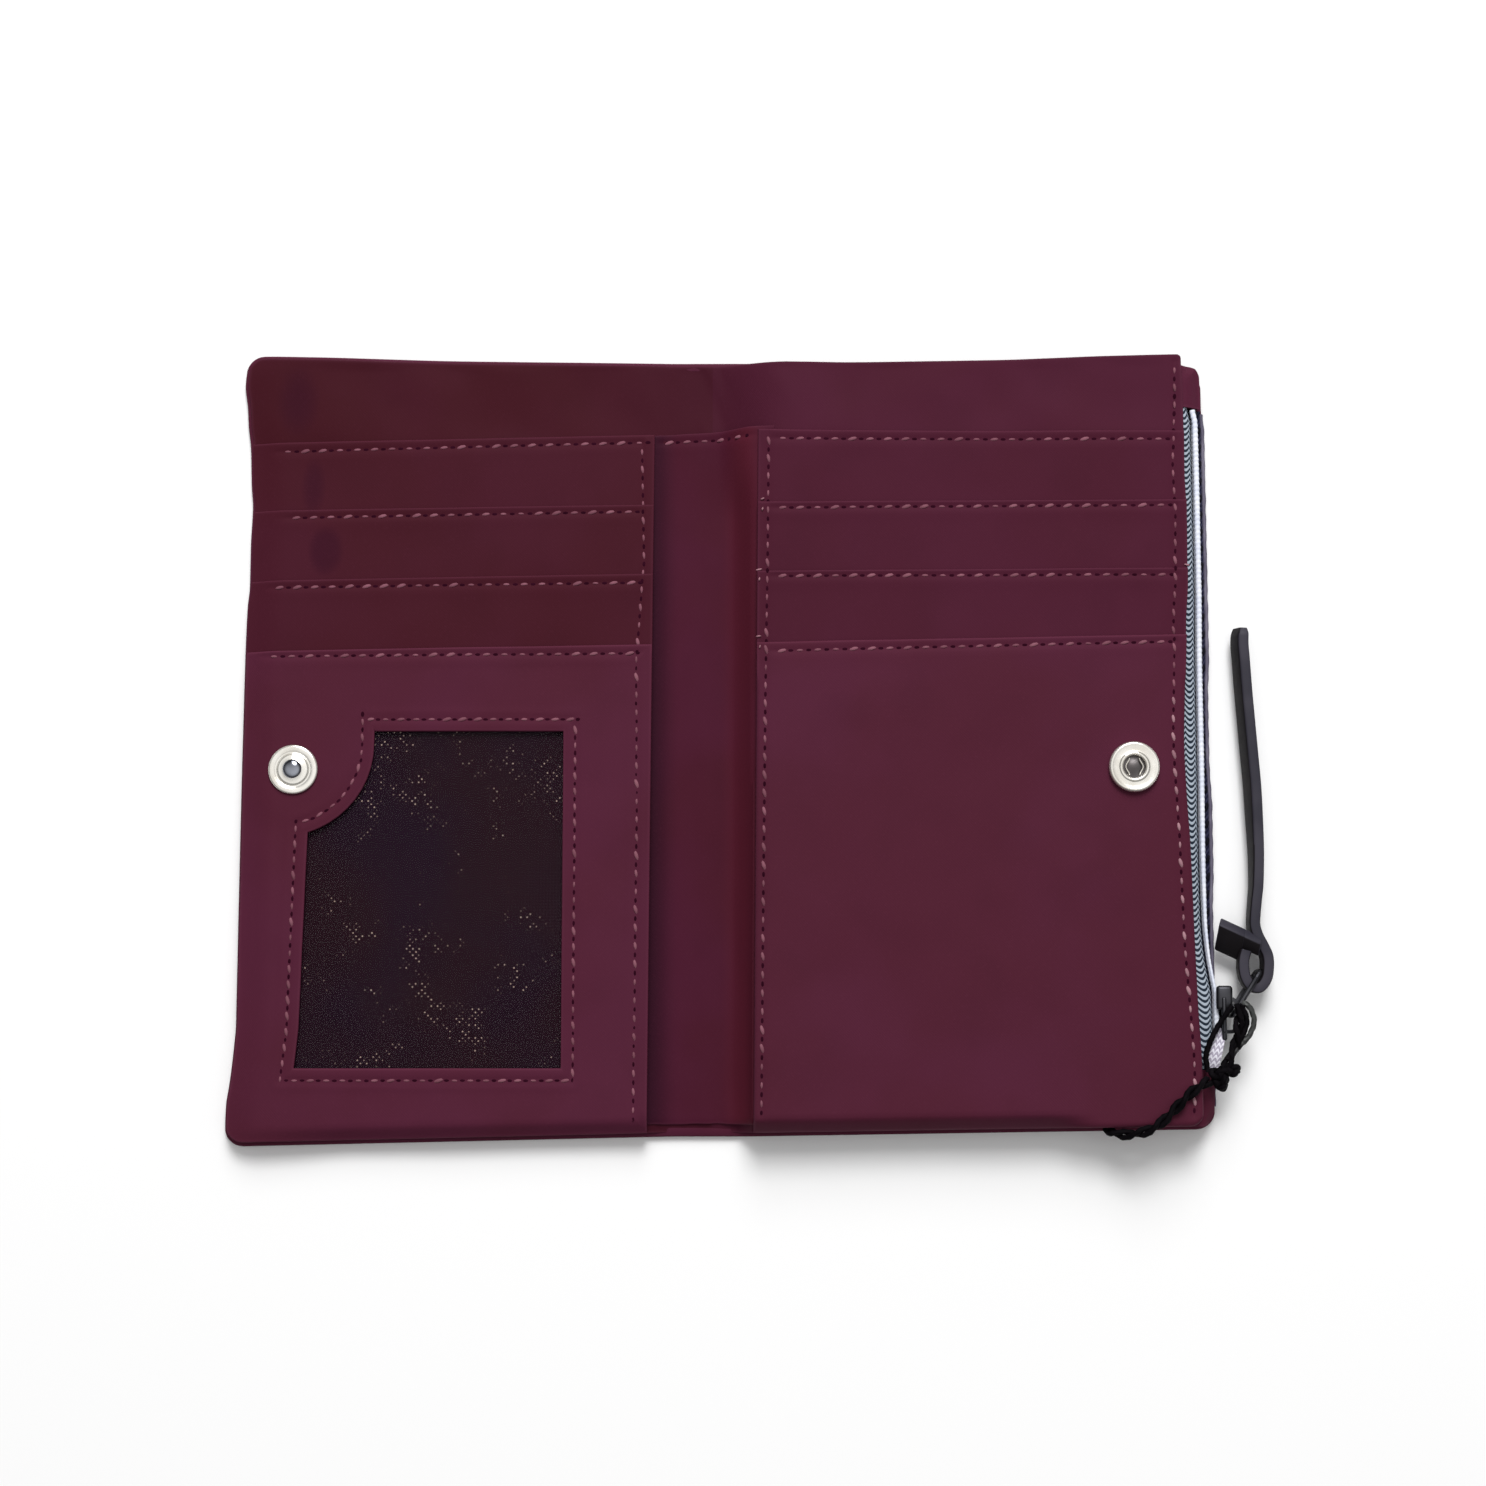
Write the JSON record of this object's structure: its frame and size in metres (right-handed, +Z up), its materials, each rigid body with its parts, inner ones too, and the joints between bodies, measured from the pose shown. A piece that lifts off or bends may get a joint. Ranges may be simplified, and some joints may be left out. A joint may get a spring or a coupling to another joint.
{
  "type": "bifold wallet",
  "caption": "Bifold fabric wallet lying open, with card slots, a mesh identity window, a snap and a zipped coin pocket with a pull strap.",
  "frame": {"origin": "middle of the spine's length and width, on the underside that lies on the table", "axes": "+X from the spine towards the zip side, +Y towards the top edge where the bill pocket opens, +Z up, out of the card side"},
  "size_m": [0.23, 0.1788, 0.0136],
  "materials": {
    "nylon": "fine matt burgundy twill",
    "board": "plain",
    "lining": "matt",
    "film": "clear film",
    "mesh": "open net",
    "nickel": "polished",
    "gunmetal": "dark plated",
    "tape": "woven herringbone",
    "coil": "satin",
    "leather": "matt, painted edges",
    "cord": "waxed and twisted"
  },
  "bodies": {
    "coin_half": {"outer_cover_right": "nylon", "stiffener_right": "board", "coin_lining": "lining", "coin_gusset_top": "nylon", "coin_gusset_bottom": "nylon", "coin_gusset_fold": "nylon", "zip_corner_top": "nylon", "zip_corner_bottom": "nylon", "bill_divider": "nylon", "slot_backing_right": "nylon", "slot_strip_right_1": "nylon", "slot_strip_right_2": "nylon", "front_panel_right": "nylon", "snap_socket": "nickel", "snap_socket_cap": "gunmetal", "zip_tape_upper": "tape", "zip_tape_lower": "tape", "zip_coil_upper": "coil", "zip_coil_lower": "coil", "zip_stop_bottom": "gunmetal", "zip_stop_top": "gunmetal", "tag_cord_1": "cord", "tag_cord_2": "cord", "cord_knot": "cord"},
    "spine": {"outer_cover_spine": "nylon", "spine_lining": "nylon"},
    "cover_half": {"outer_cover_left": "nylon", "stiffener_left": "board", "bill_lining_left": "nylon", "slot_backing_left": "nylon", "slot_strip_left_1": "nylon", "slot_strip_left_2": "nylon", "window_panel": "nylon", "window_film": "film", "window_mesh": "mesh", "snap_stud": "nickel", "snap_stud_cap": "gunmetal"},
    "slider": {"slider_body": "gunmetal", "slider_crown": "gunmetal"},
    "ring": {"pull_ring": "gunmetal"},
    "strap": {"pull_strap": "leather"}
  },
  "joints": [
    {"name": "spine_fold", "type": "hinge", "parent": "coin_half", "child": "spine", "pos_m": [0.0086, 0, 0.0015], "axis": [0, 1, 0], "range_deg": [0, 90]},
    {"name": "cover_fold", "type": "hinge", "parent": "spine", "child": "cover_half", "pos_m": [-0.0086, 0, 0.0015], "axis": [0, 1, 0], "range_deg": [0, 90]},
    {"name": "zip_slide", "type": "slide", "parent": "coin_half", "child": "slider", "axis": [0, 1, 0], "range_m": [0, 0.128]},
    {"name": "ring_swing", "type": "hinge", "parent": "slider", "child": "ring", "pos_m": [0.1147, -0.0612, 0.00425], "axis": [0, 0, 1], "range_deg": [-90, 0]},
    {"name": "strap_swing", "type": "hinge", "parent": "ring", "child": "strap", "pos_m": [0.1209, -0.0515, 0.00425], "axis": [0, 0, 1], "range_deg": [-60, 3]}
  ],
  "couplings": [
    {"joint": "cover_fold", "follows": "spine_fold", "ratio": 1}
  ]
}
